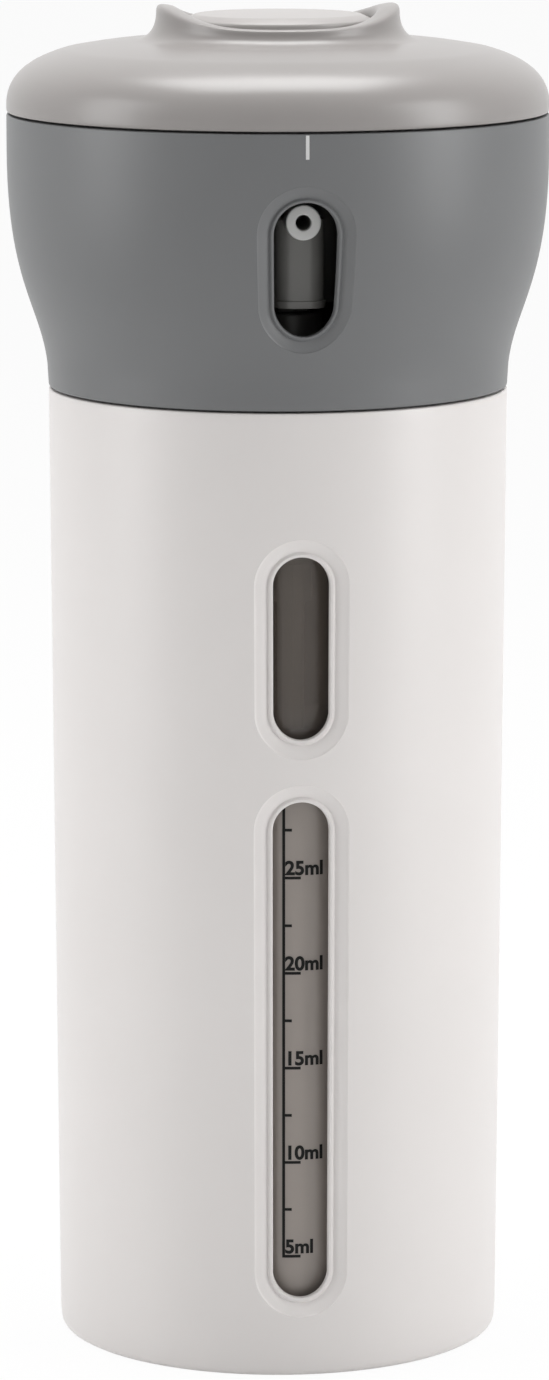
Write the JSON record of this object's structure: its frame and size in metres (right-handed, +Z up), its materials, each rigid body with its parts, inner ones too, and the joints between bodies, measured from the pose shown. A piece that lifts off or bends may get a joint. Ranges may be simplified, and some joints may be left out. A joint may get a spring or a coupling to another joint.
{
  "type": "travel dispenser bottle",
  "caption": "Rotary travel dispenser: slotted sleeve, flared head and a turning domed dial with a push button that pumps the selected inner bottle.",
  "frame": {"origin": "middle of the foot ring, on the surface that the dispenser stands on", "axes": "+Z up along the dispenser's axis; the nozzle slot and the windows face -Y; +X to the right"},
  "size_m": [0.08, 0.08, 0.1993],
  "materials": {
    "sleeve_white": "satin gloss",
    "head_grey": "satin",
    "dial_grey": "satin",
    "button_grey": "satin",
    "inner_grey": "matt",
    "pump_white": "satin",
    "clear_plastic": "clear, lightly frosted",
    "silicone": "matt",
    "spring_steel": "bright wire"
  },
  "bodies": {
    "sleeve": {"outer_sleeve": "sleeve_white"},
    "head": {"head_shell": "head_grey", "spigot_seal": "silicone"},
    "dial": {"dial_dome": "dial_grey", "carousel": "inner_grey", "dial_screw": "spring_steel", "bottle_1": "clear_plastic", "neck_gasket_1": "silicone", "pump_collar_1": "inner_grey", "pump_cylinder_1": "pump_white", "check_ball_1": "spring_steel", "dip_tube_1": "pump_white", "bottle_2": "clear_plastic", "neck_gasket_2": "silicone", "pump_collar_2": "inner_grey", "pump_cylinder_2": "pump_white", "check_ball_2": "spring_steel", "dip_tube_2": "pump_white", "bottle_3": "clear_plastic", "neck_gasket_3": "silicone", "pump_collar_3": "inner_grey", "pump_cylinder_3": "pump_white", "check_ball_3": "spring_steel", "dip_tube_3": "pump_white", "bottle_4": "clear_plastic", "neck_gasket_4": "silicone", "pump_collar_4": "inner_grey", "pump_cylinder_4": "pump_white", "check_ball_4": "spring_steel", "dip_tube_4": "pump_white"},
    "button": {"push_button": "button_grey", "button_spring": "spring_steel"},
    "presser": {"press_plate": "inner_grey", "return_spring": "spring_steel"},
    "actuator_1": {"actuator_1": "inner_grey", "nozzle_tip_1": "pump_white", "pump_stem_1": "inner_grey", "piston_1": "pump_white", "pump_spring_1": "spring_steel"},
    "actuator_2": {"actuator_2": "inner_grey", "nozzle_tip_2": "pump_white", "pump_stem_2": "inner_grey", "piston_2": "pump_white", "pump_spring_2": "spring_steel"},
    "actuator_3": {"actuator_3": "inner_grey", "nozzle_tip_3": "pump_white", "pump_stem_3": "inner_grey", "piston_3": "pump_white", "pump_spring_3": "spring_steel"},
    "actuator_4": {"actuator_4": "inner_grey", "nozzle_tip_4": "pump_white", "pump_stem_4": "inner_grey", "piston_4": "pump_white", "pump_spring_4": "spring_steel"}
  },
  "joints": [
    {"name": "head_lift", "type": "slide", "parent": "sleeve", "child": "head", "axis": [0, 0, 1], "range_m": [0, 0.145]},
    {"name": "dial_turn", "type": "hinge", "parent": "head", "child": "dial", "pos_m": [0, 0, 0.16], "axis": [0, 0, 1], "continuous": true},
    {"name": "button_press", "type": "slide", "parent": "dial", "child": "button", "axis": [0, 0, -1], "range_m": [0, 0.007], "stiffness_N_per_m": 200, "springref_m": -0.005, "deforming": ["button_spring"]},
    {"name": "presser_press", "type": "slide", "parent": "head", "child": "presser", "axis": [0, 0, -1], "range_m": [0, 0.007], "stiffness_N_per_m": 150, "springref_m": -0.005, "deforming": ["return_spring"]},
    {"name": "actuator_1_press", "type": "slide", "parent": "dial", "child": "actuator_1", "axis": [0, 0, -1], "range_m": [0, 0.007], "stiffness_N_per_m": 300, "springref_m": -0.005, "deforming": ["pump_spring_1"]},
    {"name": "actuator_2_press", "type": "slide", "parent": "dial", "child": "actuator_2", "axis": [0, 0, -1], "range_m": [0, 0.007], "stiffness_N_per_m": 300, "springref_m": -0.005, "deforming": ["pump_spring_2"]},
    {"name": "actuator_3_press", "type": "slide", "parent": "dial", "child": "actuator_3", "axis": [0, 0, -1], "range_m": [0, 0.007], "stiffness_N_per_m": 300, "springref_m": -0.005, "deforming": ["pump_spring_3"]},
    {"name": "actuator_4_press", "type": "slide", "parent": "dial", "child": "actuator_4", "axis": [0, 0, -1], "range_m": [0, 0.007], "stiffness_N_per_m": 300, "springref_m": -0.005, "deforming": ["pump_spring_4"]}
  ],
  "couplings": [
    {"joint": "presser_press", "follows": "button_press", "ratio": 1},
    {"joint": "actuator_1_press", "follows": "button_press", "ratio": 1}
  ]
}
